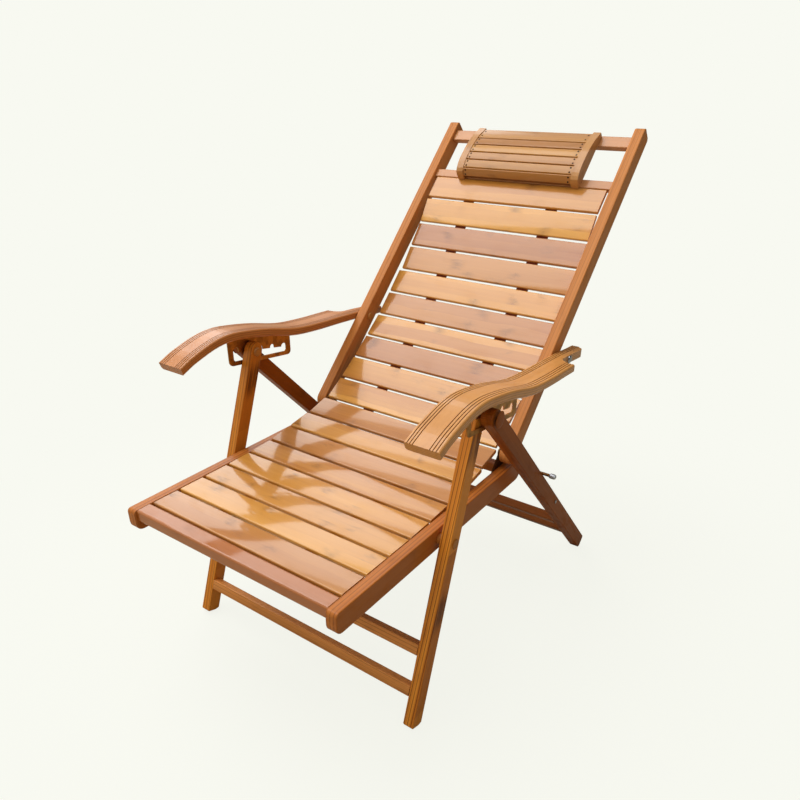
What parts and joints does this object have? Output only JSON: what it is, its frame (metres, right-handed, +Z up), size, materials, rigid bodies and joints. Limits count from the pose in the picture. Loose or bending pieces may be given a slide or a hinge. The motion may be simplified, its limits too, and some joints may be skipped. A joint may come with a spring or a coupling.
{
  "type": "folding recliner",
  "caption": "Folding recliner in varnished bamboo: slatted seat and curved back on crossed legs, shaped armrests on notched bracket plates, arched headrest.",
  "frame": {"origin": "on the floor, at the centre of the bounding box seen from above", "axes": "+X across the chair, -Y the way the sitter faces, +Z up"},
  "size_m": [0.666, 1.123, 0.9603],
  "materials": {
    "frame_bamboo": "clear gloss varnish over dark bamboo laminate",
    "leg_bamboo": "clear gloss varnish over dark bamboo laminate",
    "slat_bamboo": "clear gloss varnish over carbonised bamboo",
    "arm_bamboo": "clear gloss varnish over bamboo laminate",
    "strip_bamboo": "clear varnish over dark sprung strip",
    "stamped_brass": "stamped sheet, yellow passivated",
    "zinc_steel": "zinc plated"
  },
  "bodies": {
    "front_legs": {"front_leg_left": "leg_bamboo", "front_leg_right": "leg_bamboo", "front_crossbar_1": "leg_bamboo", "front_crossbar_2": "leg_bamboo", "leg_bolt_left": "zinc_steel", "leg_bolt_right": "zinc_steel", "seat_bolt_left": "zinc_steel", "seat_bolt_right": "zinc_steel"},
    "rear_legs": {"rear_leg_left": "leg_bamboo", "rear_leg_right": "leg_bamboo", "rear_crossbar_1": "leg_bamboo", "rear_crossbar_2": "leg_bamboo"},
    "seat": {"seat_rail_left": "frame_bamboo", "seat_rail_right": "frame_bamboo", "seat_front_bar": "frame_bamboo", "seat_rear_bar": "frame_bamboo", "seat_slat_01": "slat_bamboo", "seat_slat_02": "slat_bamboo", "seat_slat_03": "slat_bamboo", "seat_slat_04": "slat_bamboo", "seat_slat_05": "slat_bamboo", "seat_slat_06": "slat_bamboo", "seat_slat_07": "slat_bamboo", "seat_strip_left": "strip_bamboo", "seat_strip_right": "strip_bamboo", "hinge_plate_left": "zinc_steel", "hinge_plate_right": "zinc_steel", "back_pivot_bolt_left": "zinc_steel", "back_pivot_bolt_right": "zinc_steel"},
    "back": {"back_rail_left": "frame_bamboo", "back_rail_right": "frame_bamboo", "back_top_rail": "frame_bamboo", "back_carrier_rail": "frame_bamboo", "corner_slat": "slat_bamboo", "back_slat_01": "slat_bamboo", "back_slat_02": "slat_bamboo", "back_slat_03": "slat_bamboo", "back_slat_04": "slat_bamboo", "back_slat_05": "slat_bamboo", "back_slat_06": "slat_bamboo", "back_slat_07": "slat_bamboo", "back_slat_08": "slat_bamboo", "back_slat_09": "slat_bamboo", "back_slat_10": "slat_bamboo", "back_strip_left": "strip_bamboo", "back_strip_right": "strip_bamboo", "headrest_cheek_left": "slat_bamboo", "headrest_cheek_right": "slat_bamboo", "headrest_slat_1": "slat_bamboo", "headrest_slat_2": "slat_bamboo", "headrest_slat_3": "slat_bamboo", "headrest_slat_4": "slat_bamboo", "headrest_slat_5": "slat_bamboo", "headrest_slat_6": "slat_bamboo", "arm_pivot_bolt_left": "zinc_steel", "arm_pivot_bolt_right": "zinc_steel"},
    "armrests": {"armrest_left": "arm_bamboo", "armrest_right": "arm_bamboo", "notch_plate_left": "stamped_brass", "notch_plate_right": "stamped_brass"}
  },
  "joints": [
    {"name": "leg_fold", "type": "hinge", "parent": "front_legs", "child": "rear_legs", "pos_m": [0, -0.1945, 0.568], "axis": [1, 0, 0], "range_deg": [-58, 0]},
    {"name": "seat_fold", "type": "hinge", "parent": "front_legs", "child": "seat", "pos_m": [0, -0.2715, 0.348], "axis": [1, 0, 0], "range_deg": [0, 56.31]},
    {"name": "recline", "type": "hinge", "parent": "seat", "child": "back", "pos_m": [0, 0.0011, 0.395], "axis": [1, 0, 0], "range_deg": [-12.5, 31.4]},
    {"name": "arm_follow", "type": "hinge", "parent": "back", "child": "armrests", "pos_m": [0, 0.1623, 0.5577], "axis": [1, 0, 0], "range_deg": [-22.03, 8.8]}
  ],
  "couplings": [
    {"joint": "seat_fold", "follows": "leg_fold", "ratio": -0.97},
    {"joint": "arm_follow", "follows": "recline", "ratio": -0.7}
  ]
}
